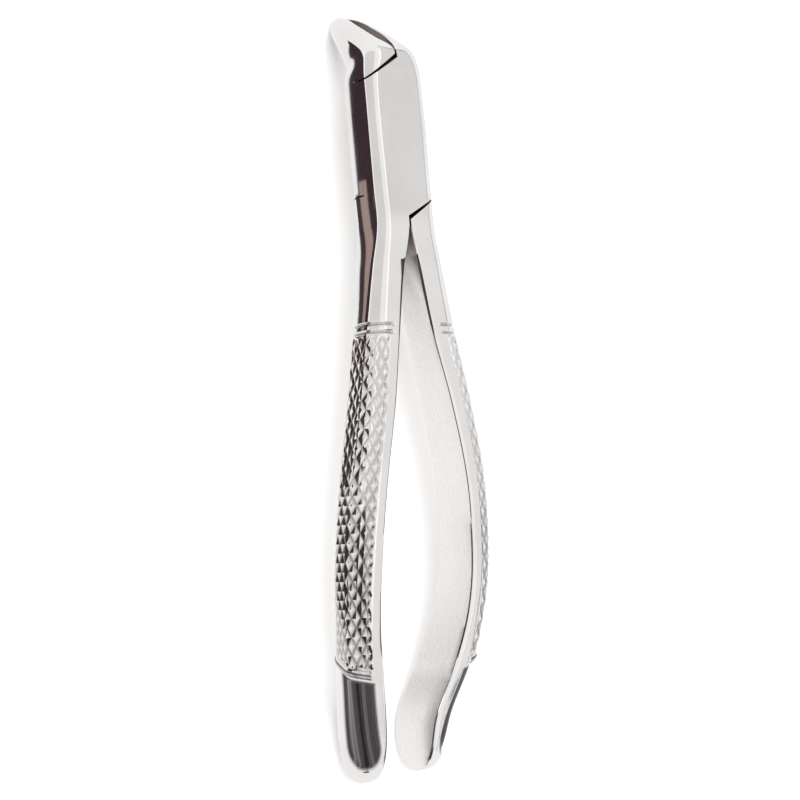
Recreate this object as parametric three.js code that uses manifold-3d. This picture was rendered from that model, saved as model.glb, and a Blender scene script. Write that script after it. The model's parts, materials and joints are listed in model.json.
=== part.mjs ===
// Extraction forceps for lower teeth: two forged steel halves that cross in a lap joint and turn
// on one screw. Each half runs from one handle, through half the joint's thickness, to the
// opposite beak.
//
// Tool frame, in millimetres: X across the tool, Y along it towards the beaks, Z out of the plain
// face of the joint. The hinge axis is Z at the origin and the beaks bend towards -Z. The whole
// tool is tilted at the end, so that it lies on its two beak tips and its two handle ends.

import * as THREE from 'three';
import { mergeVertices } from 'three/addons/utils/BufferGeometryUtils.js';
import Module from 'manifold-3d';

const wasm = await Module();
wasm.setup();

// ---- driving dimensions -----------------------------------------------------------------------

const JOINT_HALF_WIDTH = 9.3;
const JOINT_THICKNESS = 9.6;
const LAP_GAP = 0.3;            // between the two halves' flat lap faces
const SHOULDER_ANGLE = 30;      // degrees, slope of each shoulder across the joint
const SHOULDER_DISTANCE = 16.3; // from the hinge axis, square to the shoulder
const SHOULDER_GAP = 0.9;       // open slot along each shoulder
const CENTRE_GAP = 0.3;         // half the slit between the halves beyond the shoulders
const CROTCH_Y = -21;           // where the two handles have parted
const JOINT_FULL_Y = 13;        // top of the straight part of the joint

const HANDLE_END_Y = -146;
const HANDLE_ROUND_LENGTH = 10; // the handle's rounded end
const HANDLE_REST_Y = -136;     // where a handle touches what the tool lies on
const END_POWER = 2.5;          // how full that end is: 2 is an ellipse
const TENON = 1.5;              // how far a handle or beak is sunk into the joint
const CORNER_STEPS = 6;         // facets over a section's rounded corner

const SCREW_RADIUS = 2.4;
const SCREW_HEAD_RADIUS = 4.2;
const SCREW_HEAD_DEPTH = 2.0;
const SCREW_END_Z = 3.2;        // the blind end, inside the front slab
const SCREW_CLEARANCE = 0.15;
const SCREW_SLOT_WIDTH = 1.0;
const SCREW_SLOT_DEPTH = 0.9;
const ROUND_SEGMENTS = 40;

const HALF_THICKNESS = JOINT_THICKNESS / 2;

// ---- ribs: cross-sections of one side of the tool ----------------------------------------------
//
// A rib is a D-shaped section. Its flat faces the other half, at `gap` from the middle plane, and
// its back stands `depth` further out, plus or minus `skew` towards its two ends. `low` and `high`
// are the [y, z] ends of the flat. `round` is how much of the back its two rounded corners take:
// 0 is a square back, 1 a half ellipse.

function rib(low, high, gap, depth, skew, round) {
  return { low, high, gap, depth, skew, round };
}

function levelRib(y, gap, centreZ, height, depth, skew, round) {
  return rib([y, centreZ - height / 2], [y, centreZ + height / 2], gap, depth, skew, round);
}

function jointRib(y) {
  return levelRib(y, CENTRE_GAP, 0, JOINT_THICKNESS, JOINT_HALF_WIDTH - CENTRE_GAP, 0, 0.4);
}

const HANDLE_STATIONS = [
  levelRib(HANDLE_END_Y, 7.3, -17.4, 12.4, 4.8, 0.6, 0.6),
  levelRib(-134, 7.8, -16.2, 14.6, 6.4, 2.2, 0.6),
  levelRib(-122, 11.2, -12.1, 15.0, 6.4, 3.4, 0.65),
  levelRib(-110, 13.8, -8.1, 13.8, 6.8, 3.0, 0.8),
  levelRib(-98, 14.3, -4.9, 12.2, 7.8, 1.4, 0.8),
  levelRib(-80, 12.7, -2.2, 11.5, 8.4, 0.7, 0.8),
  levelRib(-62, 9.0, -0.9, 10.9, 8.8, 0.5, 0.75),
  levelRib(-44, 5.0, -0.8, 10.0, 8.7, 0.8, 0.6),
  levelRib(-30, 2.4, -0.4, 9.8, 8.6, 0.4, 0.5),
];

const JOINT_STATIONS = [jointRib(CROTCH_Y), jointRib(-12), jointRib(JOINT_FULL_Y)];

const BEAK_STATIONS = [
  rib([16.4, -5.0], [20.4, HALF_THICKNESS], CENTRE_GAP, 8.4, 0, 0.65),
  rib([20.4, -7.0], [24.0, 0.9], 2.2, 6.1, 0.4, 0.75),
  rib([23.9, -9.7], [28.2, -4.6], 2.6, 4.2, 0.4, 0.85),
  rib([26.7, -12.3], [31.0, -8.8], 1.6, 3.2, 0, 0.9),
  rib([28.3, -13.7], [31.9, -11.2], 0.4, 3.0, 0, 0.95),
];

// From the handle's end to the beak's tip, placed by the height y of each rib's high end.
const STATIONS = [...HANDLE_STATIONS, ...JOINT_STATIONS, ...BEAK_STATIONS];
const KNOTS = STATIONS.map((station) => station.high[0]);
const BEAK_ROOT = BEAK_STATIONS[0];
const BEAK_TIP = BEAK_STATIONS[BEAK_STATIONS.length - 1];

// Smooth value between stations: a cubic with the slope at each station taken from its neighbours.
function smoothValue(values, y) {
  let i = 0;
  while (i < KNOTS.length - 2 && y > KNOTS[i + 1]) i += 1;
  const slope = (k) => {
    const before = Math.max(k - 1, 0);
    const after = Math.min(k + 1, KNOTS.length - 1);
    return (values[after] - values[before]) / (KNOTS[after] - KNOTS[before]);
  };
  const span = KNOTS[i + 1] - KNOTS[i];
  const s = (y - KNOTS[i]) / span;
  const startWeight = (1 + 2 * s) * (1 - s) ** 2;
  const endWeight = s * s * (3 - 2 * s);
  return values[i] * startWeight + values[i + 1] * endWeight
    + span * (slope(i) * s * (1 - s) ** 2 - slope(i + 1) * s * s * (1 - s));
}

function ribAt(y) {
  const value = (read) => smoothValue(STATIONS.map(read), y);
  return rib(
    [value((r) => r.low[0]), value((r) => r.low[1])],
    [value((r) => r.high[0]), value((r) => r.high[1])],
    value((r) => r.gap), value((r) => r.depth), value((r) => r.skew), value((r) => r.round),
  );
}

// The same rib, shorter about its own centre and less deep.
function shrunkRib(full, heightScale, depthScale) {
  const towards = (from, to) => from.map((v, k) => {
    const centre = (v + to[k]) / 2;
    return centre + (v - centre) * heightScale;
  });
  return rib(towards(full.low, full.high), towards(full.high, full.low),
    full.gap, full.depth * depthScale, full.skew * depthScale, full.round);
}

function movedRib(source, dy, dz) {
  const move = ([y, z]) => [y + dy, z + dz];
  return rib(move(source.low), move(source.high),
    source.gap, source.depth, source.skew, source.round);
}

function handleRibs() {
  const roundStart = HANDLE_END_Y + HANDLE_ROUND_LENGTH;
  const roundSteps = 7;
  const straightSteps = 26;
  const ribs = [];
  for (let k = roundSteps; k >= 1; k -= 1) {
    const angle = (k / roundSteps) * 1.5;
    const y = roundStart - HANDLE_ROUND_LENGTH * Math.sin(angle) ** (2 / END_POWER);
    const fullness = Math.cos(angle) ** (2 / END_POWER);
    ribs.push(shrunkRib(ribAt(y), fullness, 0.6 + 0.4 * fullness));
  }
  for (let k = 0; k <= straightSteps; k += 1) {
    ribs.push(ribAt(THREE.MathUtils.lerp(roundStart, CROTCH_Y, k / straightSteps)));
  }
  ribs.push(shrunkRib(movedRib(ribAt(CROTCH_Y), TENON, 0), 0.8, 0.8));
  return ribs;
}

function jointRibs() {
  return [CROTCH_Y, -18, -15, -12, JOINT_FULL_Y, 15, 17, 18.7, BEAK_ROOT.high[0]].map(ribAt);
}

function beakRibs() {
  const stepsPerStation = 3;
  const ribs = [shrunkRib(movedRib(BEAK_ROOT, -TENON, 0), 0.8, 0.8), BEAK_ROOT];
  for (let k = 1; k < BEAK_STATIONS.length; k += 1) {
    for (let step = 1; step <= stepsPerStation; step += 1) {
      const from = BEAK_STATIONS[k - 1].high[0];
      const to = BEAK_STATIONS[k].high[0];
      ribs.push(ribAt(THREE.MathUtils.lerp(from, to, step / stepsPerStation)));
    }
  }
  ribs.push(shrunkRib(movedRib(BEAK_TIP, 0.35, -0.55), 0.8, 0.8));
  ribs.push(shrunkRib(movedRib(BEAK_TIP, 0.5, -0.8), 0.5, 0.5));
  return ribs;
}

// ---- solids ------------------------------------------------------------------------------------

// Points over the back of a rib, from its high end to its low end, on side +1 or -1. `out` runs
// from 0 at the flat to 1 at the back, and `along` from 1 at the high end to -1 at the low end.
function backPoints(section, side) {
  const corner = [];
  for (let k = 0; k <= CORNER_STEPS; k += 1) {
    const angle = (Math.PI / 2) * (k / CORNER_STEPS);
    corner.push([
      1 - section.round * (1 - Math.sin(angle)),
      1 - section.round * (1 - Math.cos(angle)),
    ]);
  }
  const lowCorner = corner.map(([out, along]) => [out, -along]).reverse();
  return [[0, 1], ...corner, ...lowCorner, [0, -1]].map(([out, along]) => {
    const mix = (1 + along) / 2;
    return [
      side * (section.gap + (section.depth + section.skew * along) * out),
      THREE.MathUtils.lerp(section.low[0], section.high[0], mix),
      THREE.MathUtils.lerp(section.low[1], section.high[1], mix),
    ];
  });
}

function sideOutline(side) {
  return (section) => {
    const points = backPoints(section, side);
    return side > 0 ? points : points.reverse();
  };
}

function wholeOutline(section) {
  return backPoints(section, 1).concat(backPoints(section, -1).reverse());
}

// A closed skin through one outline after another, with a flat fan on each end.
function loftGeometry(outlines) {
  const count = outlines[0].length;
  const positions = outlines.flat(2);
  const index = [];
  for (let row = 0; row < outlines.length - 1; row += 1) {
    for (let k = 0; k < count; k += 1) {
      const a = row * count + k;
      const b = row * count + ((k + 1) % count);
      index.push(a, b, a + count, b, b + count, a + count);
    }
  }
  const lastRow = (outlines.length - 1) * count;
  for (let k = 1; k < count - 1; k += 1) {
    index.push(0, k + 1, k);
    index.push(lastRow, lastRow + k, lastRow + k + 1);
  }
  const geometry = new THREE.BufferGeometry();
  geometry.setAttribute('position', new THREE.Float32BufferAttribute(positions, 3));
  geometry.setIndex(index);
  return geometry;
}

function toSolid(geometry) {
  const bare = geometry.clone();
  bare.deleteAttribute('normal');
  bare.deleteAttribute('uv');
  const merged = mergeVertices(bare, 1e-5);
  const mesh = new wasm.Mesh({
    numProp: 3,
    vertProperties: new Float32Array(merged.attributes.position.array),
    triVerts: new Uint32Array(merged.index.array),
  });
  return new wasm.Manifold(mesh);
}

function toGeometry(solid) {
  const mesh = solid.getMesh();
  const geometry = new THREE.BufferGeometry();
  geometry.setAttribute('position', new THREE.BufferAttribute(mesh.vertProperties, 3));
  geometry.setIndex(new THREE.BufferAttribute(mesh.triVerts, 1));
  return geometry;
}

// A plan outline in X and Y, standing from lowZ to highZ.
function prismSolid(outline, lowZ, highZ) {
  const shape = new THREE.Shape(outline.map(([x, y]) => new THREE.Vector2(x, y)));
  const geometry = new THREE.ExtrudeGeometry(shape, { depth: highZ - lowZ, bevelEnabled: false });
  geometry.translate(0, 0, lowZ);
  return toSolid(geometry);
}

// Turned half a turn about the tool's length, which swaps the front half's cuts for the back's.
function turnedOver(solid) {
  return solid.rotate([0, 180, 0]);
}

// ---- lap joint ---------------------------------------------------------------------------------

const SHOULDER_SLOPE = Math.tan(THREE.MathUtils.degToRad(SHOULDER_ANGLE));
const SHOULDER_RISE = SHOULDER_DISTANCE / Math.cos(THREE.MathUtils.degToRad(SHOULDER_ANGLE));
const REACH = 30; // past every face of the joint

// Height y of a shoulder line at x. end is +1 at the beaks and -1 at the handles, slope its
// direction, and offset moves it along its normal, away from the hinge.
function shoulderY(x, end, slope, offset) {
  const along = offset / Math.cos(THREE.MathUtils.degToRad(SHOULDER_ANGLE));
  return end * (SHOULDER_RISE + along) + slope * SHOULDER_SLOPE * x;
}

// What the front half gives up to the back half.
function frontHalfCuts() {
  const slit = CENTRE_GAP;
  const half = SHOULDER_GAP / 2;
  const beakCorner = prismSolid([
    [-REACH, shoulderY(-REACH, 1, 1, -half)], [slit, shoulderY(slit, 1, 1, -half)],
    [slit, REACH], [-REACH, REACH],
  ], -REACH, REACH);
  const handleCorner = prismSolid([
    [REACH, shoulderY(REACH, -1, 1, -half)], [REACH, -REACH],
    [-slit, -REACH], [-slit, shoulderY(-slit, -1, 1, -half)],
  ], -REACH, REACH);
  const backSlab = prismSolid([
    [-REACH, shoulderY(-REACH, -1, -1, half)], [-slit, shoulderY(-slit, -1, -1, half)],
    [-slit, -REACH], [REACH, -REACH],
    [REACH, shoulderY(REACH, 1, -1, half)], [slit, shoulderY(slit, 1, -1, half)],
    [slit, REACH], [-REACH, REACH],
  ], -REACH, LAP_GAP / 2);
  return backSlab.add(beakCorner).add(handleCorner);
}

function halfEnvelope(handleSide) {
  const handle = toSolid(loftGeometry(handleRibs().map(sideOutline(handleSide))));
  const joint = toSolid(loftGeometry(jointRibs().map(wholeOutline)));
  const beak = toSolid(loftGeometry(beakRibs().map(sideOutline(-handleSide))));
  return handle.add(joint).add(beak);
}

// ---- screw -------------------------------------------------------------------------------------

// Half outline of the screw, grown by `clearance` for its hole. The head is flush with the back.
function screwProfile(clearance) {
  const headZ = -HALF_THICKNESS;
  const shankZ = headZ + SCREW_HEAD_DEPTH;
  return [
    [0, headZ - (clearance > 0 ? 1 : 0)],
    [SCREW_HEAD_RADIUS + clearance, headZ - (clearance > 0 ? 1 : 0)],
    [SCREW_HEAD_RADIUS + clearance, shankZ - 0.4],
    [SCREW_HEAD_RADIUS - 0.4 + clearance, shankZ + clearance],
    [SCREW_RADIUS + clearance, shankZ + clearance],
    [SCREW_RADIUS + clearance, SCREW_END_Z + clearance],
    [0, SCREW_END_Z + clearance],
  ].map(([r, z]) => new THREE.Vector2(r, z));
}

// A lathe turns about Y, so the result is laid over onto the hinge axis.
function turnedSolid(profile) {
  const geometry = new THREE.LatheGeometry(profile, ROUND_SEGMENTS);
  geometry.rotateX(Math.PI / 2);
  return toSolid(geometry);
}

function screwSolid() {
  const slot = new THREE.BoxGeometry(SCREW_HEAD_RADIUS * 3, SCREW_SLOT_WIDTH, SCREW_SLOT_DEPTH * 2);
  slot.translate(0, 0, -HALF_THICKNESS);
  return turnedSolid(screwProfile(0)).subtract(toSolid(slot));
}

// ---- assembly ----------------------------------------------------------------------------------

function steelMesh(name, solid, color, roughness) {
  const material = new THREE.MeshStandardMaterial({ color, roughness, metalness: 1 });
  const mesh = new THREE.Mesh(toGeometry(solid), material);
  mesh.name = name;
  return mesh;
}

const screwHole = turnedSolid(screwProfile(SCREW_CLEARANCE));
const frontHalf = halfEnvelope(-1).subtract(frontHalfCuts()).subtract(screwHole);
const backHalf = halfEnvelope(1).subtract(turnedOver(frontHalfCuts())).subtract(screwHole);

const tool = new THREE.Group();
tool.add(steelMesh('front_half', frontHalf, 0xc9c7c6, 0.15));
tool.add(steelMesh('back_half', backHalf, 0xc6c4c3, 0.15));
tool.add(steelMesh('pivot_screw', screwSolid(), 0xb9b8b7, 0.25));

// Lay the tool down: beak tips and handle ends touch the same level surface.
const handleLow = ribAt(HANDLE_REST_Y).low;
tool.rotation.x = -Math.atan2(BEAK_TIP.low[1] - handleLow[1], BEAK_TIP.low[0] - handleLow[0]);

const group = new THREE.Group();
group.add(tool);
group.updateMatrixWorld(true);
const box = new THREE.Box3().setFromObject(tool, true);
const centre = box.getCenter(new THREE.Vector3());
tool.position.set(-centre.x, -centre.y, -box.min.z);

export default group;
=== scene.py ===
"""Extraction forceps: the looks of the two steel halves and the screw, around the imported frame.

Shapes are worked out in the tool's own frame, in millimetres: X across the tool, Y along it
towards the beaks, Z out of the plain face of the joint, with the hinge axis on Z at the origin.
The frame's hinge says where that tool frame lies in the row, and every mesh is moved there last.
"""

import json
import math
from bisect import bisect_right

import bmesh
import bpy
import numpy as np
from mathutils import Matrix, Vector


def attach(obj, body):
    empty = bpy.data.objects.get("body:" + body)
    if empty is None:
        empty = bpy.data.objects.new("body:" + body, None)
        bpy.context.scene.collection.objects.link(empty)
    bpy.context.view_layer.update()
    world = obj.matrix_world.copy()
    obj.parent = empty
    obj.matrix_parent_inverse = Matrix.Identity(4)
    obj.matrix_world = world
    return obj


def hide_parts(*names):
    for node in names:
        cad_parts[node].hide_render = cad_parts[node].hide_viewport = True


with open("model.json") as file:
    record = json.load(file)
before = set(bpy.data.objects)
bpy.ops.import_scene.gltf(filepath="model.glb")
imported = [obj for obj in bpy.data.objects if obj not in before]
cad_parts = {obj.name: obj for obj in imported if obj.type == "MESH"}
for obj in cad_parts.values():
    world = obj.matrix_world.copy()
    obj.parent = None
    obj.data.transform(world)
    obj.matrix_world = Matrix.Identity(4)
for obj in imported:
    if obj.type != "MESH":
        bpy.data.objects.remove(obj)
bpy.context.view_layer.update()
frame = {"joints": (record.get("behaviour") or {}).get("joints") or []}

# ---- driving dimensions, in millimetres --------------------------------------------------------

MM = 0.001  # metres

JOINT_HALF_WIDTH = 9.3
JOINT_THICKNESS = 9.6
HALF_THICKNESS = JOINT_THICKNESS / 2
LAP_GAP = 0.06  # between the flat faces that slide on each other
SHOULDER_HEIGHT = 18.8  # how far from the hinge the middle of each shoulder crosses the centre line
SHOULDER_ANGLES = {1: math.radians(34), -1: math.radians(30)}  # at the beaks and at the handles
SHOULDER_GAPS = (0.35, 1.0)  # at the outer end of each shoulder and at its inner end
CENTRE_GAP = 0.3
CROTCH_Y = -21.0
JOINT_FULL_Y = 13.0  # the joint keeps its full section from CROTCH_Y to here
BEAK_ROOT_Y = 20.4  # where the beaks begin on the plain face
REACH = 30.0  # how far from the hinge the cutters go, well past the joint's sides

# Rounded lower end of each handle.
HANDLE_END_Y = -146.0
HANDLE_ROUND_LENGTH = 10.0
END_POWER = 2.5  # of the superellipse that rounds the end
END_DEPTH = 0.6  # depth left at the very end, as a share of the full depth
END_ANGLES = (1.54, 0.04)  # first and last row of the end, as angles on its quarter turn
END_ROWS = 32

# Rounded tip of each beak.
TIP_REACH = (0.5, -0.8)  # how far the tip goes past the last station, in Y and in Z
TIP_SIZE = 0.35  # size left at the very tip, as a share of the last station
TIP_ANGLES = (0.25, 1.45)
TIP_ROWS = 7

# Knurling on the back of each handle: diamonds between two crossing families of grooves.
KNURL_TOP = -45.8
KNURL_PITCH = 4.13
KNURL_DEPTH = (0.2, 0.55)  # near the joint and further down
KNURL_GROOVE_SHARE = (0.3, 0.5)  # half width of a groove, in pitches: 0.5 leaves full pyramids
KNURL_DEEPENS_OVER = 62.0
KNURL_TOP_FADE = 0.4  # length over which the grooves run out at the top
KNURL_LIP_GAP = 0.5  # plain strip above the lip
KNURL_LIP_FADE = 0.8  # length over which the grooves run out above that strip
KNURL_SIDE_FADE = 2.5  # columns over which they run out at both sides
DIAMONDS_ACROSS = 7
CELLS_PER_DIAMOND = 12

RING_YS = (-43.2, -45.0)
RING_HALF_WIDTH = 0.45
RING_DEPTH = 0.4
RING_FADE = (0.8, 0.93)  # where the rings run out, as shares of the way to the edge of the back
RING_ROWS_TOP = -42.4  # the closely spaced rows of the rings reach up to here

# Raised lip under the knurling, and the scooped finger pad under the lip.
LIP_Y = -118.4
LIP_SLANT = -0.26  # the lip drops towards the front edge
LIP_WIDTH = 1.3
LIP_RISE = 0.3
LIP_POWER = 0.7  # of its arched profile: under 1 makes it blunter
LIP_HALF_LENGTH = 8.5
LIP_GROOVE_OFFSET = 0.45  # from the lip up to the middle of the groove over it
LIP_GROOVE_HALF_WIDTH = 0.4
LIP_GROOVE_DEPTH = 0.35
LIP_FINE_REACH = 5.0  # rows this near to the lip are split
LIP_FINE_PARTS = 3
PAD_OFFSET = 4.0  # from the middle of the back towards the front edge
PAD_HALF_WIDTH = 6.2
PAD_BOTTOM_Y = -143.2
PAD_DEPTH = 0.75
PAD_EDGE = 1.6

SIDE_CROWN = 0.05  # how far the back of a section bulges, as a share of its depth
EDGE_ROUND = (0.3, 0.9)  # rounding of the inner edges, at the joint and along the handles
EDGE_GROWS_OVER = 14.0  # length below the crotch over which it grows from one to the other
EDGE_LIMIT = 0.3  # its most, as a share of a section's depth or height
BEAK_EDGE_SHARE = 0.8  # rounding of a beak's inner edges, as a share of the joint's
BEAK_HOLLOW = 0.8
BEAK_HOLLOW_FULL_Y = 26.0
CUT_EDGE_BEVEL = 0.14
CUT_EDGE_ANGLE = math.radians(35)  # cut edges sharper than this are bevelled
MERGE_DISTANCE = 0.01  # vertices nearer than this become one after the cuts
SLIVER_SIZE = 0.005  # edges shorter than this are removed after the cuts
LEVEL_DEPTH = 0.0001  # a face whose groove depths differ by less than this isn't split

# Distance between rows of faces along a half.
RING_SPACING = 0.13
SHANK_SPACING = 0.8
JOINT_SPACING = 1.5
SHOULDER_SPACING = 0.6
BEAK_SPACING = 0.35

# Columns of faces round a section. They are evenly spaced under the knurling.
FLAT_COLUMNS = 17
CORNER_COLUMNS = 24
HALF_BACK_COLUMNS = 11
EDGE_COLUMNS = 6
INNER_COLUMNS = 8
OUTER_COLUMNS = 2 * (FLAT_COLUMNS + CORNER_COLUMNS + HALF_BACK_COLUMNS)
BAND_COLUMNS = (OUTER_COLUMNS - DIAMONDS_ACROSS * CELLS_PER_DIAMOND) // 2
EVEN_COLUMNS = (-34, -41)  # heights between which the columns turn evenly spaced

SCREW_RADIUS = 2.4
SCREW_HEAD_RADIUS = 4.2
SCREW_HEAD_DEPTH = 2.0
SCREW_END_Z = 3.2
SCREW_CLEARANCE = 0.06
SCREW_SLOT_WIDTH = 1.0
SCREW_SLOT_DEPTH = 0.9
SCREW_HEAD_Z = -HALF_THICKNESS
SCREW_SEAT_Z = SCREW_HEAD_Z + SCREW_HEAD_DEPTH
SCREW_SEAT_CHAMFER = 0.4  # under the head's rim
SCREW_SEAT_GAP = 0.02
SCREW_END_CHAMFER = 0.3
SCREW_SINK = 0.04  # at the middle of the head
SCREW_RIM = ((0.5, 0.02), (0.12, 0.06), (0, 0.2))  # rounded rim: in from its side, under its face
SCREW_OUTSIDE_Z = SCREW_HEAD_Z - 1  # where the cutters for the hole and the slot start
ROUND_SEGMENTS = 96

# Where the tool frame lies in the row. The record's axis points out of the back face.
hinge = frame["joints"][0]
TOOL_Z = -Vector(hinge["axis"]).normalized()
TOOL_X = Vector((1, 0, 0))
TOOL_Y = TOOL_Z.cross(TOOL_X)
TOOL_AXES = Matrix((TOOL_X, TOOL_Y, TOOL_Z)).transposed()
TOOL_TO_ROW = Matrix.Translation(Vector(hinge["pos_m"])) @ TOOL_AXES.to_4x4() @ Matrix.Scale(MM, 4)

# ---- ribs: cross-sections of one side of the tool ----------------------------------------------
#
# A rib is a D-shaped section, held as eight numbers. Its flat runs between two [y, z] ends, at
# `gap` from the middle plane, and faces the other half. Its back stands `depth` further out, plus
# or minus `skew` towards its ends, and `round` is how much of it the two corners take.

LOW_Y, LOW_Z, HIGH_Y, HIGH_Z, GAP, DEPTH, SKEW, ROUND = range(8)
LOW_END = slice(LOW_Y, HIGH_Y)
HIGH_END = slice(HIGH_Y, GAP)


def rib(low, high, gap, depth, skew, round_share):
    return np.array([*low, *high, gap, depth, skew, round_share], float)


def level_rib(y, gap, centre_z, height, depth, skew, round_share):
    low = (y, centre_z - height / 2)
    high = (y, centre_z + height / 2)
    return rib(low, high, gap, depth, skew, round_share)


def joint_rib(y):
    return level_rib(y, CENTRE_GAP, 0, JOINT_THICKNESS, JOINT_HALF_WIDTH - CENTRE_GAP, 0, 0.4)


STATIONS = [
    level_rib(HANDLE_END_Y, 7.3, -17.4, 12.4, 4.8, 0.6, 0.6),
    level_rib(-134, 7.8, -16.2, 14.6, 6.4, 2.2, 0.6),
    level_rib(-122, 11.2, -12.1, 15.0, 6.4, 3.4, 0.65),
    level_rib(-110, 13.8, -8.1, 13.8, 6.8, 3.0, 0.8),
    level_rib(-98, 14.3, -4.9, 12.2, 7.8, 1.4, 0.8),
    level_rib(-80, 12.7, -2.2, 11.5, 8.4, 0.7, 0.8),
    level_rib(-62, 9.0, -0.9, 10.9, 8.8, 0.5, 0.75),
    level_rib(-44, 5.0, -0.8, 10.0, 8.7, 0.8, 0.6),
    level_rib(-30, 2.4, -0.4, 9.8, 8.6, 0.4, 0.5),
    joint_rib(CROTCH_Y),
    joint_rib(-12),
    joint_rib(JOINT_FULL_Y),
    rib((16.4, -5.0), (BEAK_ROOT_Y, HALF_THICKNESS), CENTRE_GAP, 8.4, 0, 0.65),
    rib((20.4, -7.0), (24.0, 0.9), 2.2, 6.1, 0.4, 0.75),
    rib((23.9, -9.7), (28.2, -4.6), 2.6, 4.2, 0.4, 0.85),
    rib((26.7, -12.3), (31.0, -8.8), 1.6, 3.2, 0, 0.9),
    rib((28.3, -13.7), (31.9, -11.2), 0.4, 3.0, 0, 0.95),
]
KNOTS = [station[HIGH_Y] for station in STATIONS]
BEAK_TIP = STATIONS[-1]


def rib_at(y):
    """The rib at height y: a cubic between stations, with slopes taken from their neighbours."""
    i = min(max(bisect_right(KNOTS, y) - 1, 0), len(KNOTS) - 2)

    def slope(k):
        before = max(k - 1, 0)
        after = min(k + 1, len(KNOTS) - 1)
        return (STATIONS[after] - STATIONS[before]) / (KNOTS[after] - KNOTS[before])

    span = KNOTS[i + 1] - KNOTS[i]
    s = (y - KNOTS[i]) / span
    along_start = STATIONS[i] * (1 + 2 * s) * (1 - s) ** 2
    along_end = STATIONS[i + 1] * s * s * (3 - 2 * s)
    bend = slope(i) * s * (1 - s) ** 2 - slope(i + 1) * s * s * (1 - s)
    return along_start + along_end + span * bend


def shrunk_rib(full, height_scale, depth_scale):
    """The same rib, shorter about its own centre and less deep."""
    made = full.copy()
    centre = (full[LOW_END] + full[HIGH_END]) / 2
    made[LOW_END] = centre + (full[LOW_END] - centre) * height_scale
    made[HIGH_END] = centre + (full[HIGH_END] - centre) * height_scale
    made[DEPTH] *= depth_scale
    made[SKEW] *= depth_scale
    return made


def moved_rib(source, dy, dz):
    made = source.copy()
    made[[LOW_Y, HIGH_Y]] += dy
    made[[LOW_Z, HIGH_Z]] += dz
    return made


def smooth_step(start, end, value):
    s = np.clip((value - start) / (end - start), 0, 1)
    return s * s * (3 - 2 * s)


def mix(a, b, share):
    return a + (b - a) * share


# ---- outlines round a rib ----------------------------------------------------------------------


def rib_points(section, side, out, along):
    """Points of a rib: out is 0 on its flat and 1 on its back, along is -1 low and 1 high."""
    share = (1 + along) / 2
    x = side * (section[GAP] + (section[DEPTH] + section[SKEW] * along) * out)
    y = mix(section[LOW_Y], section[HIGH_Y], share)
    z = mix(section[LOW_Z], section[HIGH_Z], share)
    return np.stack([x, y, z], axis=1)


def outer_run(section, side, edge):
    """Points round the back of a rib, from its high edge to its low edge."""
    turn = np.linspace(0, math.pi / 2, CORNER_COLUMNS + 1)
    corner_out = 1 - section[ROUND] * (1 - np.sin(turn))
    corner_along = 1 - section[ROUND] * (1 - np.cos(turn))
    flat_out = np.linspace(edge / section[DEPTH], corner_out[0], FLAT_COLUMNS + 1)[:-1]
    back_along = np.linspace(corner_along[-1], 0, HALF_BACK_COLUMNS + 1)[1:]
    out = np.concatenate([flat_out, corner_out, np.ones(HALF_BACK_COLUMNS)])
    along = np.concatenate([np.ones(FLAT_COLUMNS), corner_along, back_along])
    out = np.concatenate([out, out[-2::-1]])
    along = np.concatenate([along, -along[-2::-1]])
    out = out - SIDE_CROWN * out**2 * along**2
    return rib_points(section, side, out, along)


def inner_run(section, side, edge, hollow):
    """Points across the flat of a rib, from just past its low edge to just before its high edge."""
    turn = np.linspace(0, math.pi / 2, EDGE_COLUMNS + 1)[:-1]
    half_height = np.hypot(*(section[HIGH_END] - section[LOW_END])) / 2
    edge_out = edge / section[DEPTH] * (1 - np.cos(turn))
    edge_along = 1 - edge / half_height * (1 - np.sin(turn))
    reach = np.linspace(-1, 1, INNER_COLUMNS + 1)[1:-1]
    flat_out = hollow / section[DEPTH] * (1 - reach**2)
    out = np.concatenate([edge_out[::-1], flat_out, edge_out])
    along = np.concatenate([-edge_along[::-1], reach * edge_along[0], edge_along])
    return rib_points(section, side, out, along)


def evened(points, share):
    """The same run of points, moved towards even spacing as share goes from 0 to 1."""
    steps = np.linalg.norm(np.diff(points, axis=0), axis=1)
    place = np.concatenate([[0], np.cumsum(steps)]) / steps.sum()
    wanted = mix(place, np.linspace(0, 1, len(points)), share)
    return np.stack([np.interp(wanted, place, points[:, k]) for k in range(3)], axis=1)


# ---- details pressed into the back of a handle -------------------------------------------------


def from_nearest(value):
    return np.abs(value - np.round(value))


def knurl_inset(y, column, lip_y):
    """Depth of the knurling's grooves, which run along the diagonals of the evenly spaced faces."""
    lengthwise = (y - KNURL_TOP) / KNURL_PITCH
    crosswise = (column - BAND_COLUMNS) / CELLS_PER_DIAMOND
    deepening = smooth_step(KNURL_TOP, KNURL_TOP - KNURL_DEEPENS_OVER, y)
    depth = mix(*KNURL_DEPTH, deepening)
    half_width = mix(*KNURL_GROOVE_SHARE, deepening)
    one_way = 1 - from_nearest(lengthwise + crosswise) / half_width
    other_way = 1 - from_nearest(lengthwise - crosswise) / half_width
    lines = np.clip(np.maximum(one_way, other_way), 0, 1)
    from_border = DIAMONDS_ACROSS / 2 - np.abs(crosswise - DIAMONDS_ACROSS / 2)
    side_fade = np.clip(from_border * CELLS_PER_DIAMOND / KNURL_SIDE_FADE, 0, 1)
    top_fade = np.clip((KNURL_TOP - y) / KNURL_TOP_FADE, 0, 1)
    lip_fade = np.clip((y - lip_y - KNURL_LIP_GAP) / KNURL_LIP_FADE, 0, 1)
    return depth * lines * side_fade * (top_fade * lip_fade)


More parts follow.
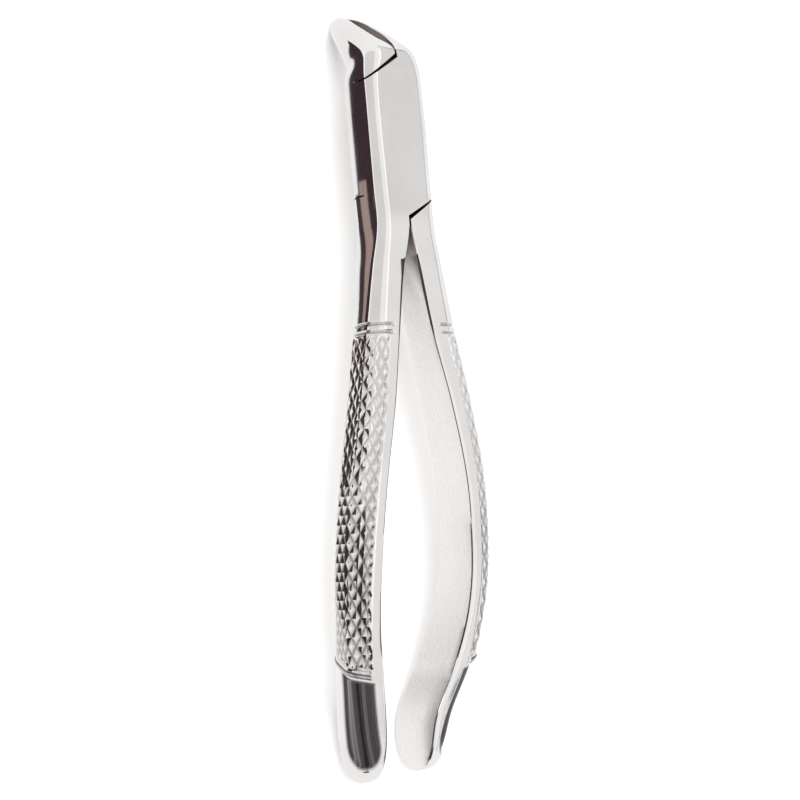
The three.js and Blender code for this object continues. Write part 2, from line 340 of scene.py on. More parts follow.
def ring_inset(y, column):
    middle = OUTER_COLUMNS / 2
    side_fade = 1 - smooth_step(*RING_FADE, np.abs(column - middle) / middle)
    inset = 0
    for ring_y in RING_YS:
        inset = inset + RING_DEPTH * np.clip(1 - ((y - ring_y) / RING_HALF_WIDTH) ** 2, 0, 1)
    return inset * side_fade


def lip_line(across):
    return LIP_Y + LIP_SLANT * across


def pad_cover(y, across):
    """1 on the floor of the finger pad and 0 outside it."""
    sideways = np.abs(across - PAD_OFFSET)
    round_centre = PAD_BOTTOM_Y + PAD_HALF_WIDTH
    below = np.minimum(y - round_centre, 0)
    inside = PAD_HALF_WIDTH - np.hypot(sideways, below)
    under_lip = lip_line(across) - LIP_WIDTH - y
    return smooth_step(0, PAD_EDGE, np.minimum(inside, under_lip))


def lip_profile(y, across):
    """Height of the lip, as a share of LIP_RISE."""
    arch = np.clip(1 - ((lip_line(across) - y) / LIP_WIDTH * 2 - 1) ** 2, 0, 1)
    return arch**LIP_POWER * (np.abs(across) < LIP_HALF_LENGTH)


def lip_shade(lip):
    """Painted shade on the lip, dark like the pad's painted reflection, with a painted highlight along
    its crest.
    """
    return np.clip(2.5 * lip, 0, 0.95) - 0.45 * np.clip(8 * lip - 7, 0, 1)


def lip_groove_inset(y, across):
    from_middle = (y - lip_line(across) - LIP_GROOVE_OFFSET) / LIP_GROOVE_HALF_WIDTH
    return LIP_GROOVE_DEPTH * np.clip(1 - from_middle**2, 0, 1) * (np.abs(across) < LIP_HALF_LENGTH)


def outward_normals(points):
    """Unit normals at rows of points round a handle's back."""
    normals = np.cross(np.gradient(points, axis=0), np.gradient(points, axis=1))
    normals /= np.linalg.norm(normals, axis=2, keepdims=True)
    middle = (len(points) // 2, OUTER_COLUMNS // 2, 0)
    return normals * np.sign(normals[middle]) * np.sign(points[middle])


def handle_details(points):
    """Presses the knurling, rings and pad into the rows of points round a handle's back, and
    raises the lip. Returns the points and, for the materials, how deep each one is in a groove,
    how dark it is painted, with a painted reflection on the pad and painted shade on the lip,
    and how far it lies from the middle of the back."""
    steps = np.linalg.norm(np.diff(points, axis=1), axis=2)
    lengths = np.concatenate([np.zeros((len(points), 1)), np.cumsum(steps, axis=1)], axis=1)
    across = lengths[:, -1:] / 2 - lengths
    column = np.arange(points.shape[1])[None, :]
    y = points[:, :, 1]
    groove = np.maximum(knurl_inset(y, column, lip_line(across)), ring_inset(y, column))
    groove = np.maximum(groove, lip_groove_inset(y, across))
    pad = pad_cover(y, across)
    lip = lip_profile(y, across)
    inset = np.maximum(groove, PAD_DEPTH * pad) - LIP_RISE * lip
    # Painted darkness for the material: a painted dark reflection on the pad, and painted shade with a
    # painted highlight on the lip.
    shade = np.maximum(np.clip(2 * pad, 0, 1), lip_shade(lip))
    pressed = points - outward_normals(points) * inset[:, :, None]
    return pressed, groove / KNURL_DEPTH[1], shade, across


# ---- rows of outlines along a half -------------------------------------------------------------


def evenly(start, end, spacing):
    """Heights from start up to end, about spacing apart, without end itself."""
    count = max(1, round((end - start) / spacing))
    return np.linspace(start, end, count, endpoint=False)


def handle_sections():
    """Ribs from the rounded end of a handle up to the crotch."""
    round_start = HANDLE_END_Y + HANDLE_ROUND_LENGTH
    sections = []
    for angle in np.linspace(*END_ANGLES, END_ROWS):
        y = round_start - HANDLE_ROUND_LENGTH * math.sin(angle) ** (2 / END_POWER)
        fullness = math.cos(angle) ** (2 / END_POWER)
        sections.append(shrunk_rib(rib_at(y), fullness, mix(END_DEPTH, 1, fullness)))
    cell = KNURL_PITCH / CELLS_PER_DIAMOND
    knurl_rows = np.arange(math.floor((KNURL_TOP - round_start) / cell), 0, -1)
    for y in KNURL_TOP - knurl_rows * cell:
        parts = LIP_FINE_PARTS if abs(y - LIP_Y) < LIP_FINE_REACH else 1
        sections += [rib_at(y + cell * (part / parts)) for part in range(parts)]
    ring_ys = evenly(KNURL_TOP, RING_ROWS_TOP, RING_SPACING)
    shank_ys = evenly(RING_ROWS_TOP, CROTCH_Y, SHANK_SPACING)
    return sections + [rib_at(y) for y in [*ring_ys, *shank_ys, CROTCH_Y]]


def joint_sections():
    """Ribs from just past the crotch to the beak's root."""
    plain_ys = evenly(CROTCH_Y, JOINT_FULL_Y, JOINT_SPACING)[1:]
    shoulder_ys = evenly(JOINT_FULL_Y, BEAK_ROOT_Y, SHOULDER_SPACING)
    return [rib_at(y) for y in [*plain_ys, *shoulder_ys, BEAK_ROOT_Y]]


def beak_sections():
    """Ribs from just past the beak's root to its rounded tip."""
    sections = [rib_at(y) for y in [*evenly(BEAK_ROOT_Y, KNOTS[-1], BEAK_SPACING)[1:], KNOTS[-1]]]
    for angle in np.linspace(*TIP_ANGLES, TIP_ROWS):
        tip = moved_rib(BEAK_TIP, TIP_REACH[0] * math.sin(angle), TIP_REACH[1] * math.sin(angle))
        size = mix(TIP_SIZE, 1, math.cos(angle))
        sections.append(shrunk_rib(tip, size, size))
    return sections


# ---- mesh of a half before its lap is cut ------------------------------------------------------

OUTER, INNER, GROUND, RECESS = range(4)
DETAILS = ("groove", "pad", "across")  # values at each vertex that the materials read


class Skin:
    """Collects the vertices and faces of one closed mesh, with the details of each vertex."""

    def __init__(self):
        self.points = []
        self.faces = []
        self.finishes = []
        self.details = {label: [] for label in DETAILS}

    def add(self, points, *details):
        """Adds vertices, with a row of values for each of DETAILS or none. Returns their numbers."""
        start = len(self.points)
        self.points.extend(map(tuple, points))
        for label, values in zip(DETAILS, details or [np.zeros(len(points))] * len(DETAILS)):
            self.details[label].extend(values)
        return list(range(start, start + len(points)))

    def face(self, corners, finish=OUTER):
        self.faces.append(corners)
        self.finishes.append(finish)

    def strip(self, row, next_row, finish=OUTER):
        """Faces between two rows. Where grooves cross it, a face is split along its level line."""
        for k in range(len(row) - 1):
            a, b, c, d = row[k], row[k + 1], next_row[k + 1], next_row[k]
            depths = [self.details["groove"][corner] for corner in (a, b, c, d)]
            if max(depths) - min(depths) < LEVEL_DEPTH:
                self.face((a, b, c, d), finish)
            elif abs(depths[0] - depths[2]) < abs(depths[1] - depths[3]):
                self.face((a, b, c), finish)
                self.face((a, c, d), finish)
            else:
                self.face((a, b, d), finish)
                self.face((b, c, d), finish)

    def mesh(self, name):
        mesh = bpy.data.meshes.new(name)
        mesh.from_pydata(self.points, [], self.faces)
        mesh.polygons.foreach_set("material_index", self.finishes)
        for label, values in self.details.items():
            mesh.attributes.new(label, "FLOAT", "POINT").data.foreach_set("value", values)
        shape = bmesh.new()
        shape.from_mesh(mesh)
        bmesh.ops.recalc_face_normals(shape, faces=shape.faces)
        shape.to_mesh(mesh)
        shape.free()
        return mesh


def edge_round(section):
    """Rounding of the inner edges of a handle's section."""
    grown = float(smooth_step(CROTCH_Y, CROTCH_Y - EDGE_GROWS_OVER, section[HIGH_Y]))
    height = section[HIGH_Z] - section[LOW_Z]
    return min(mix(*EDGE_ROUND, grown), EDGE_LIMIT * section[DEPTH], EDGE_LIMIT * height)


def beak_hollow(section):
    return BEAK_HOLLOW * float(smooth_step(BEAK_ROOT_Y, BEAK_HOLLOW_FULL_Y, section[HIGH_Y]))


def add_side(skin, sections, side, outer_rows, edges, hollows):
    """Closes the outer rows of one handle or beak with its inner face. Returns the inner loops."""
    low_edge = slice(None, EDGE_COLUMNS + 1)
    flat = slice(EDGE_COLUMNS, -EDGE_COLUMNS)
    high_edge = slice(-EDGE_COLUMNS - 1, None)
    loops = []
    for section, outer, edge, hollow in zip(sections, outer_rows, edges, hollows):
        inner = skin.add(inner_run(section, side, edge, hollow))
        loops.append([outer[-1], *inner, outer[0]])
    for k in range(len(loops) - 1):
        skin.strip(outer_rows[k], outer_rows[k + 1])
        for part, finish in ((low_edge, OUTER), (flat, INNER), (high_edge, OUTER)):
            skin.strip(loops[k][part], loops[k + 1][part], finish)
    return loops


def add_handle(skin, side):
    """Adds a handle up to the crotch. Returns its last outer row and its last inner loop."""
    sections = handle_sections()
    edges = [edge_round(section) for section in sections]
    runs = []
    for section, edge in zip(sections, edges):
        evenness = float(smooth_step(*EVEN_COLUMNS, section[HIGH_Y]))
        runs.append(evened(outer_run(section, side, edge), evenness))
    outer_rows = [skin.add(*row) for row in zip(*handle_details(np.array(runs)))]
    loops = add_side(skin, sections, side, outer_rows, edges, [0] * len(sections))
    skin.face([*outer_rows[0], *loops[0][1:-1]])
    return outer_rows[-1], loops[-1]


def add_joint(skin, handle_side, handle_run, handle_loop):
    """Adds the joint above a handle. Returns the last run on the handle's side and on the beak's."""
    edge = EDGE_ROUND[0]
    beak_run = skin.add(outer_run(rib_at(CROTCH_Y), -handle_side, edge))
    skin.face([*handle_loop, *beak_run])
    for section in joint_sections():
        next_handle = skin.add(outer_run(section, handle_side, edge))
        next_beak = skin.add(outer_run(section, -handle_side, edge))
        skin.strip(handle_run, next_handle)
        skin.strip(beak_run, next_beak)
        for end in (0, -1):
            skin.face((handle_run[end], next_handle[end], next_beak[end], beak_run[end]))
        handle_run, beak_run = next_handle, next_beak
    return handle_run, beak_run


def add_beak(skin, side, handle_run, beak_run):
    """Adds a beak on the joint's last run on its side, and closes the joint's top."""
    edge = EDGE_ROUND[0] * BEAK_EDGE_SHARE
    sections = [rib_at(BEAK_ROOT_Y), *beak_sections()]
    hollows = [beak_hollow(section) for section in sections]
    outer_rows = [beak_run]
    outer_rows += [skin.add(outer_run(section, side, edge)) for section in sections[1:]]
    loops = add_side(skin, sections, side, outer_rows, [edge] * len(sections), hollows)
    skin.face([*loops[0], *handle_run])
    skin.face([*outer_rows[-1], *loops[-1][1:-1]])


def half_mesh(name, handle_side):
    """One half, from its handle through the whole joint to the opposite beak, as a closed mesh."""
    skin = Skin()
    handle_run, handle_loop = add_handle(skin, handle_side)
    handle_run, beak_run = add_joint(skin, handle_side, handle_run, handle_loop)
    add_beak(skin, -handle_side, handle_run, beak_run)
    return skin.mesh(name)


# ---- cutting the lap and the holes -------------------------------------------------------------


def shoulder_line(end, slope, towards):
    """Height of a shoulder's wall as a function of x. end is 1 at the beaks and -1 at the handles,
    slope its direction, and towards is 1 for the wall further from the hinge and -1 for the nearer."""
    angle = SHOULDER_ANGLES[end]

    def height(x, gap):
        rise = SHOULDER_HEIGHT + towards * gap / 2 / math.cos(angle)
        return end * rise + slope * math.tan(angle) * x

    outer_x = -JOINT_HALF_WIDTH * end * slope
    outer_y = height(outer_x, SHOULDER_GAPS[0])
    inner_y = height(0, SHOULDER_GAPS[1])
    return lambda x: mix(inner_y, outer_y, x / outer_x)


def prism(outline, low_z, high_z, end_finish=GROUND, wall_finish=RECESS):
    """A cutter whose two flat ends and walls leave these finishes on what it cuts."""
    shape = bmesh.new()
    rings = [[shape.verts.new((x, y, z)) for x, y in outline] for z in (low_z, high_z)]
    for ring in rings:
        shape.faces.new(ring).material_index = end_finish
    for k in range(len(outline)):
        after = (k + 1) % len(outline)
        wall = shape.faces.new((rings[0][k], rings[0][after], rings[1][after], rings[1][k]))
        wall.material_index = wall_finish
    bmesh.ops.recalc_face_normals(shape, faces=shape.faces)
    return shape_object("cutter", shape)


def shape_object(name, shape):
    mesh = bpy.data.meshes.new(name)
    shape.to_mesh(mesh)
    shape.free()
    return linked(name, mesh)


def give_materials(target, materials):
    """Adds the materials in the order that the faces' finishes number them."""
    for material in materials:
        target.data.materials.append(material)


def linked(name, data):
    made = bpy.data.objects.new(name, data)
    bpy.context.scene.collection.objects.link(made)
    return made


def front_half_cutters():
    """What the front half gives up to the back half: the back of the lap and a corner at each end."""
    slit = CENTRE_GAP
    beak_end = shoulder_line(1, 1, -1)
    handle_end = shoulder_line(-1, 1, -1)
    beak_wall = shoulder_line(1, -1, 1)
    handle_wall = shoulder_line(-1, -1, 1)
    beak_corner = [(-REACH, beak_end(-REACH)), (slit, beak_end(slit)), (slit, REACH), (-REACH, REACH)]
    handle_corner = [
        (REACH, handle_end(REACH)), (REACH, -REACH), (-slit, -REACH), (-slit, handle_end(-slit)),
    ]
    back_slab = [
        (-REACH, handle_wall(-REACH)), (-slit, handle_wall(-slit)), (-slit, -REACH), (REACH, -REACH),
        (REACH, beak_wall(REACH)), (slit, beak_wall(slit)), (slit, REACH), (-REACH, REACH),
    ]
    return [
        prism(back_slab, -REACH, LAP_GAP / 2),
        prism(beak_corner, -REACH, REACH),
        prism(handle_corner, -REACH, REACH),
    ]


def turned(profile, name):
    """A lathe shape about Z through [radius, z] points, closed on the axis at both ends."""
    shape = bmesh.new()
    rings = []
    for radius, z in profile:
        if radius == 0:
            rings.append([shape.verts.new((0, 0, z))])
            continue
        angles = np.linspace(0, 2 * math.pi, ROUND_SEGMENTS, endpoint=False)
        rings.append([shape.verts.new((radius * math.cos(t), radius * math.sin(t), z)) for t in angles])
    for ring, after in zip(rings, rings[1:]):
        for k in range(ROUND_SEGMENTS):
            corners = [ring[k % len(ring)], ring[(k + 1) % len(ring)]]
            corners += [after[(k + 1) % len(after)], after[k % len(after)]]
            shape.faces.new(list(dict.fromkeys(corners)))
    bmesh.ops.recalc_face_normals(shape, faces=shape.faces)
    return shape_object(name, shape)


def hole_cutter():
    """The screw's hole, closed at its front end."""
    head = SCREW_HEAD_RADIUS + SCREW_CLEARANCE
    shank = SCREW_RADIUS + SCREW_CLEARANCE
    end_z = SCREW_END_Z + SCREW_CLEARANCE
    profile = [
        (0, SCREW_OUTSIDE_Z),
        (head, SCREW_OUTSIDE_Z),
        (head, SCREW_SEAT_Z - SCREW_SEAT_CHAMFER),
        (head - SCREW_SEAT_CHAMFER, SCREW_SEAT_Z),
        (shank, SCREW_SEAT_Z),
        (shank, end_z),
        (0, end_z),
    ]
    return turned(profile, "cutter")


def cut(target, cutters, materials):
    """Gives the target its materials, cuts each cutter out of it and removes the cutters. A cut
    face keeps the finish of the cutter that made it."""
    give_materials(target, materials)
    for cutter in cutters:
        give_materials(cutter, materials)
        step = target.modifiers.new("cut", "BOOLEAN")
        step.operation = "DIFFERENCE"
        step.solver = "MANIFOLD"
        step.object = cutter
        apply_modifiers(target)
        bpy.data.objects.remove(cutter)


def apply_modifiers(target):
    depsgraph = bpy.context.evaluated_depsgraph_get()
    mesh = bpy.data.meshes.new_from_object(target.evaluated_get(depsgraph))
    target.modifiers.clear()
    target.data = mesh


def bevel_cut_edges(target, lowest_y):
    """Bevels the sharp edges above lowest_y, where the cuts have left them."""
    shape = bmesh.new()
    shape.from_mesh(target.data)
    bmesh.ops.remove_doubles(shape, verts=shape.verts, dist=MERGE_DISTANCE)
    bmesh.ops.dissolve_degenerate(shape, edges=shape.edges, dist=SLIVER_SIZE)
    weights = shape.edges.layers.float.get("bevel_weight_edge")
    weights = weights or shape.edges.layers.float.new("bevel_weight_edge")
    for edge in shape.edges:
        sharp = edge.is_manifold and edge.calc_face_angle(0) > CUT_EDGE_ANGLE
        inside = min(v.co.y for v in edge.verts) > lowest_y
        edge[weights] = 1.0 if sharp and inside else 0.0
    shape.to_mesh(target.data)
    shape.free()
    bevel = target.modifiers.new("bevel", "BEVEL")
    bevel.width = CUT_EDGE_BEVEL
    bevel.segments = 2
    bevel.limit_method = "WEIGHT"
    apply_modifiers(target)


def smooth_shading(target, sharp_degrees):
    mesh = target.data
    mesh.shade_smooth()
    mesh.set_sharp_from_angle(angle=math.radians(sharp_degrees))
    weighted = target.modifiers.new("even normals", "WEIGHTED_NORMAL")
    weighted.keep_sharp = True


# ---- pieces ------------------------------------------------------------------------------------


def make_half(name, handle_side, materials, body, cad_node):
    half = linked(name, half_mesh(name, handle_side))
    cutters = front_half_cutters()
    if handle_side > 0:  # the back half's lap is the front half's, turned half a turn about Y
        for cutter in cutters:
            cutter.data.transform(Matrix.Rotation(math.pi, 4, "Y"))
    cut(half, [*cutters, hole_cutter()], materials)
    bevel_cut_edges(half, CROTCH_Y - 1)
    smooth_shading(half, sharp_degrees=13)
    finish_piece(half, body, cad_node)


def make_screw(name, material, body, cad_node):
    profile = [
        (0, SCREW_HEAD_Z + SCREW_SINK),
        *[(SCREW_HEAD_RADIUS - inwards, SCREW_HEAD_Z + under) for inwards, under in SCREW_RIM],
        (SCREW_HEAD_RADIUS, SCREW_SEAT_Z - SCREW_SEAT_CHAMFER),
        (SCREW_HEAD_RADIUS - SCREW_SEAT_CHAMFER, SCREW_SEAT_Z - SCREW_SEAT_GAP),
        (SCREW_RADIUS, SCREW_SEAT_Z - SCREW_SEAT_GAP),
        (SCREW_RADIUS, SCREW_END_Z - SCREW_END_CHAMFER),
        (SCREW_RADIUS - SCREW_END_CHAMFER, SCREW_END_Z),
        (0, SCREW_END_Z),
    ]
    screw = turned(profile, name)
    half_width = SCREW_SLOT_WIDTH / 2
    outline = [(-REACH, -half_width), (REACH, -half_width), (REACH, half_width), (-REACH, half_width)]
    slot = prism(outline, SCREW_OUTSIDE_Z, SCREW_HEAD_Z + SCREW_SLOT_DEPTH, OUTER, OUTER)
    cut(screw, [slot], [material])
    bevel_cut_edges(screw, -REACH)
    smooth_shading(screw, sharp_degrees=30)
    finish_piece(screw, body, cad_node)


def finish_piece(piece, body, cad_node):
    """Moves a piece into the row, on its body and in place of its CAD node."""
    piece.data.transform(TOOL_TO_ROW)
    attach(piece, body)
    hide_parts(cad_node)


# ---- materials ---------------------------------------------------------------------------------


class Nodes:
    """Short calls for building one material's nodes."""

    def __init__(self, name):
        self.material = bpy.data.materials.new(name)
        self.material.use_nodes = True
        self.tree = self.material.node_tree
        self.shader = self.tree.nodes["Principled BSDF"]

    def add(self, kind, settings=None, **inputs):
        node = self.tree.nodes.new(kind)
        for key, value in (settings or {}).items():
            setattr(node, key, value)
        for key, value in inputs.items():
            self.feed(node.inputs[key.replace("_", " ")], value)
        return node

    def feed(self, socket, value):
        if isinstance(value, bpy.types.NodeSocket):
            self.tree.links.new(value, socket)
        else:
            socket.default_value = value

    def shade(self, **inputs):
        """Feeds the shader's own inputs, with _ for each space in their names."""
        for key, value in inputs.items():
            self.feed(self.shader.inputs[key.replace("_", " ")], value)

    def math(self, operation, *values):
        node = self.add("ShaderNodeMath", {"operation": operation})
        for socket, value in zip(node.inputs, values):
            self.feed(socket, value)
        return node.outputs[0]

    def ramp(self, factor, *stops):
        """A colour that goes through (position, colour) stops as factor rises."""
        node = self.add("ShaderNodeValToRGB", Fac=factor)
        elements = node.color_ramp.elements
        while len(elements) < len(stops):
            elements.new(0.5)
        for element, (position, colour) in zip(elements, stops):
            element.position = position
            element.color = (*colour, 1)
        return node.outputs["Color"]

    def blend(self, factor, a, b):
        """Colour a where factor is 0 and colour b where it is 1, on a mix node's colour sockets."""
        node = self.add("ShaderNodeMix", {"data_type": "RGBA"})
        self.feed(node.inputs[0], factor)
        self.feed(node.inputs[6], a)
        self.feed(node.inputs[7], b)
        return node.outputs[2]

    def attribute(self, name):
        return self.add("ShaderNodeAttribute", {"attribute_name": name}).outputs["Fac"]

    def noise(self, scale, detail, stretch=(1, 1, 1)):
        """Noise fixed to the piece, with a grain of 1 / (scale * stretch) metres on each axis."""
        place = self.add("ShaderNodeTexCoord").outputs["Object"]
        mapping = self.add("ShaderNodeMapping", Vector=place, Scale=stretch)
        texture = self.add("ShaderNodeTexNoise", Vector=mapping.outputs[0], Scale=scale, Detail=detail)
        return texture.outputs["Fac"]

    def rise_along(self, start, end):
        """0 below start and 1 above end, both in metres up the row's Y."""
        place = self.add("ShaderNodeTexCoord").outputs["Object"]
        height = self.add("ShaderNodeSeparateXYZ", Vector=place).outputs["Y"]
        smooth = {"interpolation_type": "SMOOTHSTEP"}
        rise = self.add("ShaderNodeMapRange", smooth, Value=height, From_Min=start, From_Max=end)
        return rise.outputs["Result"]

    def bump(self, height, strength, distance):
        node = self.add("ShaderNodeBump", Height=height, Strength=strength, Distance=distance)
        self.shade(Normal=node.outputs[0])


def grey(value, warmth=0.0):
    return (value * (1 + warmth), value, value * (1 - warmth))


def pad_painted_reflection(nodes):
    """A painted dark reflection on the finger pad, brown-grey and streaked along it."""
    settings = {"noise_dimensions": "1D"}
    across = nodes.attribute("across")
    brushing = nodes.add("ShaderNodeTexNoise", settings, W=across, Scale=0.7, Detail=3.0)
    return nodes.ramp(brushing.outputs["Fac"], (0.5, (0.02, 0.016, 0.019)), (0.8, (0.22, 0.19, 0.18)))


def polished_steel():
    """Buffed stainless steel with faint smudges and polishing lines. Painted shade darkens the grooves,
    and the finger pad and the lip are less metallic and painted dark, as a streaked painted reflection."""
    nodes = Nodes("polished_steel")
    smudges = nodes.noise(90, 5)
    lines = nodes.noise(900, 2, (1, 0.05, 1))
    # How dark each point is painted: the pad's painted reflection and the lip's painted shade.
    pad = nodes.attribute("pad")
    clean = nodes.ramp(smudges, (0.3, grey(0.83, 0.008)), (0.7, grey(0.9, 0.004)))
    # Painted shade: the grooves of the knurling, the rings and the lip grow darker with their depth.
    groove_shade_colour = (0.11, 0.075, 0.07, 1)
    groove_shading = nodes.math("MULTIPLY", nodes.math("POWER", nodes.attribute("groove"), 1.6), 0.8)
    groove_shaded = nodes.blend(groove_shading, clean, groove_shade_colour)
    nodes.shade(
        Base_Color=nodes.blend(pad, groove_shaded, pad_painted_reflection(nodes)),
        Metallic=nodes.math("MULTIPLY_ADD", pad, -0.85, 1),
        Roughness=nodes.math("MULTIPLY_ADD", smudges, 0.09, 0.05),
    )
    nodes.bump(lines, 0.05, 0.00001)
    return nodes.material


def inner_steel():
    """The finely brushed flats that face each other: bright on the handles, and painted dark brown-grey
    up the tool towards the crotch and on the beaks, as painted shade.
    """
    nodes = Nodes("inner_steel")
    brushing = nodes.noise(1500, 3, (1, 0.04, 1))
    clouds = nodes.noise(60, 4)
    tone = nodes.math("ADD", nodes.math("MULTIPLY", brushing, 0.5), nodes.math("MULTIPLY", clouds, 0.5))
    bright = nodes.ramp(tone, (0.3, grey(0.83, 0.02)), (0.7, grey(0.92, 0.015)))
    # Painted shade: the flats turn dark brown-grey higher up the tool.
    painted_beak_shade = nodes.ramp(tone, (0.3, (0.15, 0.115, 0.105)), (0.7, (0.24, 0.19, 0.175)))
    nodes.shade(
        Base_Color=nodes.blend(nodes.rise_along(0.019, 0.041), bright, painted_beak_shade),
        Metallic=0.8,
        Roughness=nodes.math("MULTIPLY_ADD", brushing, 0.16, 0.2),
    )
    nodes.bump(brushing, 0.1, 0.00001)
    return nodes.material


def ground_steel():
    """The lap faces, with grinding marks across the tool."""
    nodes = Nodes("ground_steel")
    grinding = nodes.noise(1800, 4, (0.3, 1, 1))
    colour = nodes.ramp(grinding, (0.3, grey(0.46, 0.015)), (0.7, grey(0.6, 0.01)))
    nodes.shade(Base_Color=colour, Metallic=1, Roughness=0.38)
    nodes.bump(grinding, 0.15, 0.00001)
    return nodes.material


def slot_shade_steel():
    """Walls of the narrow slots, painted near-black as painted shade inside the slots."""
    nodes = Nodes("slot_shade_steel")
    mottling = nodes.noise(700, 4)
    # Painted shade: near-black for the slot walls, mottled by the noise.
    colour = nodes.ramp(mottling, (0.3, (0.035, 0.028, 0.028)), (0.7, (0.10, 0.08, 0.08)))
    nodes.shade(Base_Color=colour, Metallic=1, Roughness=0.42)
    nodes.bump(mottling, 0.2, 0.00002)
    return nodes.material


def screw_steel():
    """Ground steel, darker than the polished halves."""
    nodes = Nodes("screw_steel")
    grinding = nodes.noise(2200, 3, (0.05, 1, 1))
    colour = nodes.ramp(grinding, (0.3, grey(0.55, 0.01)), (0.7, grey(0.68, 0.01)))
    roughness = nodes.math("MULTIPLY_ADD", grinding, 0.15, 0.2)
    nodes.shade(Base_Color=colour, Metallic=1, Roughness=roughness)
    nodes.bump(grinding, 0.1, 0.00001)
    return nodes.material


# ---- stage, light and camera -------------------------------------------------------------------

FLOOR_SIZE = 6.0  # metres
FLOOR_DROP = 0.0002  # metres below the steel that rests on it
FLOOR_COLOUR = grey(0.96, 0.003)
WORLD_COLOUR = grey(0.95, 0.006)


def floor_paint():
    nodes = Nodes("floor")
    nodes.shade(Base_Color=(*FLOOR_COLOUR, 1), Roughness=0.9)
    return nodes.material


def glow(name, colour):
    """A card's material, which gives off its colour and reflects nothing."""
    nodes = Nodes(name)
    nodes.shade(Base_Color=(0, 0, 0, 1), Specular_IOR_Level=0)
    nodes.shade(Emission_Color=(*colour, 1), Emission_Strength=1)
    return nodes.material


def rectangle(name, width, height, material):
    shape = bmesh.new()
    corners = [(-1, -1), (1, -1), (1, 1), (-1, 1)]
    shape.faces.new([shape.verts.new((x * width / 2, y * height / 2, 0)) for x, y in corners])
    made = shape_object(name, shape)
    made.data.materials.append(material)
    return made


def make_floor():
    floor = rectangle("floor", FLOOR_SIZE, FLOOR_SIZE, floor_paint())
    floor.location.z = -FLOOR_DROP
    floor.visible_glossy = False


def place_facing(thing, aim, direction, distance):
    """Puts a card or a light off the point aim, facing it, with its length along Y."""
    away = Vector(direction).normalized()
    across = Vector((0, 1, 0)).cross(away).normalized()
    axes = Matrix((across, away.cross(across), away)).transposed()
    place = TOOL_TO_ROW @ (Vector(aim) + away * distance)
    thing.matrix_world = Matrix.Translation(place) @ (TOOL_AXES @ axes).to_4x4()


def make_card(name, aim, direction, distance, size, colour):
    """A card that only reflections see, with its size and distance in millimetres."""
    card = rectangle(name, size[0] * MM, size[1] * MM, glow(name, colour))
    place_facing(card, aim, direction, distance)
    card.visible_camera = False
    card.visible_diffuse = False
    card.visible_shadow = False


def make_light(name, aim, direction, distance, size, watts):
    """A soft light that reflections don't see, with its size and distance in millimetres."""
    data = bpy.data.lights.new(name, "AREA")
    data.shape = "RECTANGLE"
    data.size = size[0] * MM
    data.size_y = size[1] * MM
    data.energy = watts
    light = linked(name, data)
    light.visible_glossy = False
    place_facing(light, aim, direction, distance)


# Cards round the tool, in millimetres: (name, point they face, direction, distance, size, colour).
# The gap cards stand between the handles, and make the dark lines along their inner edges.
DARK = (0.045, 0.028, 0.034)
CARDS = [
    ("joint_side_card", (0, 205, 0), (-0.927, 0, -0.375), 400, (500, 350), DARK),
    ("shank_under_card", (0, -27, 0), (-0.84, 0, -0.54), 29, (16, 36), DARK),
    ("shank_side_card", (0, -24, 0), (-0.84, 0, -0.54), 28, (6, 36), (0.36, 0.27, 0.245)),
    ("camera_side_card", (0, 200, 0), (-0.5, 0, 0.866), 420, (560, 560), (0.75, 0.72, 0.71)),
    ("lower_facet_card", (0, -125, 0), (-0.75, -0.62, 0.2), 250, (170, 240), (0.05, 0.035, 0.035)),
    ("low_facet_card", (0, -150, 0), (-0.88, 0.45, -0.05), 200, (300, 120), (0.06, 0.045, 0.045)),
    ("gap_upper_card", (0, -60, 4), (-1, 0, 0), 0.5, (8, 64), (0.06, 0.05, 0.05)),
    ("gap_lower_card", (0, -106, -4), (-1, 0, 0), 0.5, (14, 28), (0.06, 0.05, 0.05)),
    ("gap_end_card", (0, -133, -14), (-1, 0, 0), 0.5, (14, 26), (0.12, 0.1, 0.1)),
    ("edge_highlight_card", (0, -50, 0), (-0.974, 0, 0.225), 390, (22, 900), grey(1.5)),
    ("streak_card", (0, -50, 0), (0.47, 0, 0.88), 400, (36, 900), grey(1.25)),
    ("front_upper_card", (0, 321, 0), (0.69, 0.07, 0.72), 420, (200, 600), grey(0.75, 0.012)),
    ("front_lower_card", (0, -279, 0), (0.69, 0.07, 0.72), 420, (200, 600), grey(0.84, 0.012)),
    ("front_line_card", (0, -50, 0), (0.86, 0, 0.5), 400, (18, 900), grey(0.1)),
]
KEY_LIGHT = ("key", (0, -50, 0), (-0.45, 0.25, 0.85), 900, (600, 800), 7)  # the last is in watts


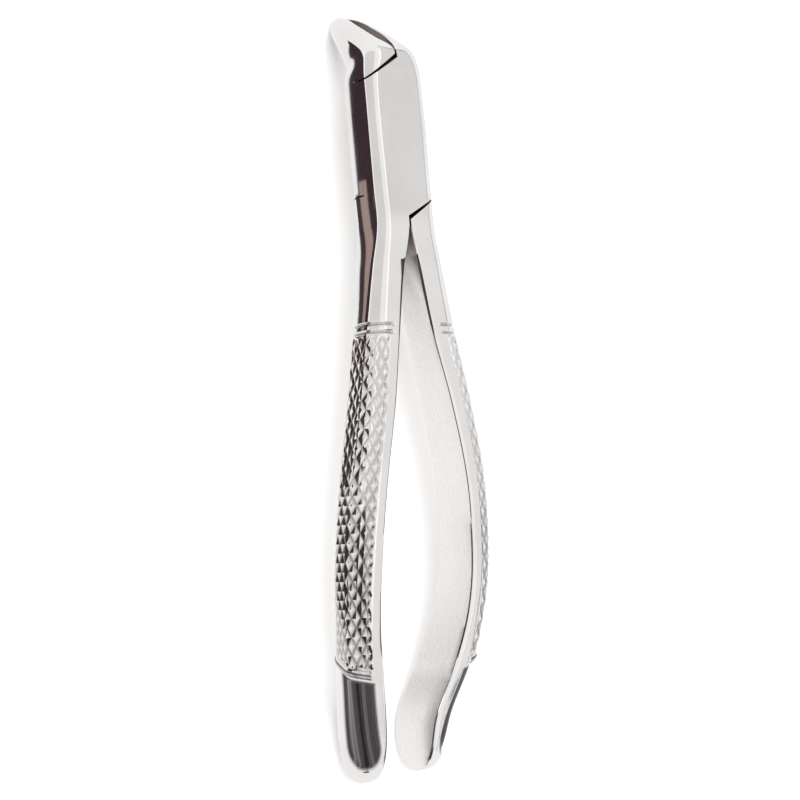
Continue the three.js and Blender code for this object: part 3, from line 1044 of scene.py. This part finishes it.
def make_world():
    world = bpy.data.worlds.new("studio")
    world.use_nodes = True
    background = world.node_tree.nodes["Background"]
    background.inputs["Color"].default_value = (*WORLD_COLOUR, 1)
    bpy.context.scene.world = world
    bpy.context.scene.view_settings.view_transform = "Standard"


# The camera looks at the tool from its front left, tilted so that the tool stands upright. Its
# lengths are in millimetres.
CAMERA_ROUND = math.radians(43.67)  # from the front face towards the left side
CAMERA_RISE = math.radians(-3.84)
CAMERA_ROLL = math.radians(-5.1)
CAMERA_DISTANCE = 397.15
CAMERA_AIM = (2.71, -59.75)  # across and up the picture from the hinge, to its centre
CAMERA_LENS = 77.56
CAMERA_SENSOR = 36.0
CAMERA_CLIP = (0.01, 20.0)  # metres


def make_camera():
    back = Vector((
        -math.sin(CAMERA_ROUND) * math.cos(CAMERA_RISE),
        math.sin(CAMERA_RISE),
        math.cos(CAMERA_ROUND) * math.cos(CAMERA_RISE),
    ))
    level_right = Vector((0, 1, 0)).cross(back).normalized()
    level_up = back.cross(level_right)
    right = math.cos(CAMERA_ROLL) * level_right + math.sin(CAMERA_ROLL) * level_up
    up = math.cos(CAMERA_ROLL) * level_up - math.sin(CAMERA_ROLL) * level_right
    place = CAMERA_AIM[0] * right + CAMERA_AIM[1] * up + CAMERA_DISTANCE * back
    data = bpy.data.cameras.new("camera")
    data.lens = CAMERA_LENS
    data.sensor_width = CAMERA_SENSOR
    data.clip_start, data.clip_end = CAMERA_CLIP
    camera = linked("camera", data)
    axes = TOOL_AXES @ Matrix((right, up, back)).transposed()
    camera.matrix_world = Matrix.Translation(TOOL_TO_ROW @ place) @ axes.to_4x4()
    bpy.context.scene.camera = camera


# ---- scene -------------------------------------------------------------------------------------

steel = [polished_steel(), inner_steel(), ground_steel(), slot_shade_steel()]
make_half("front_half_steel", -1, steel, "front", "front_half")
make_half("back_half_steel", 1, steel, "back", "back_half")
make_screw("pivot_screw_steel", screw_steel(), "front", "pivot_screw")

make_world()
make_floor()
for card in CARDS:
    make_card(*card)
make_light(*KEY_LIGHT)
make_camera()
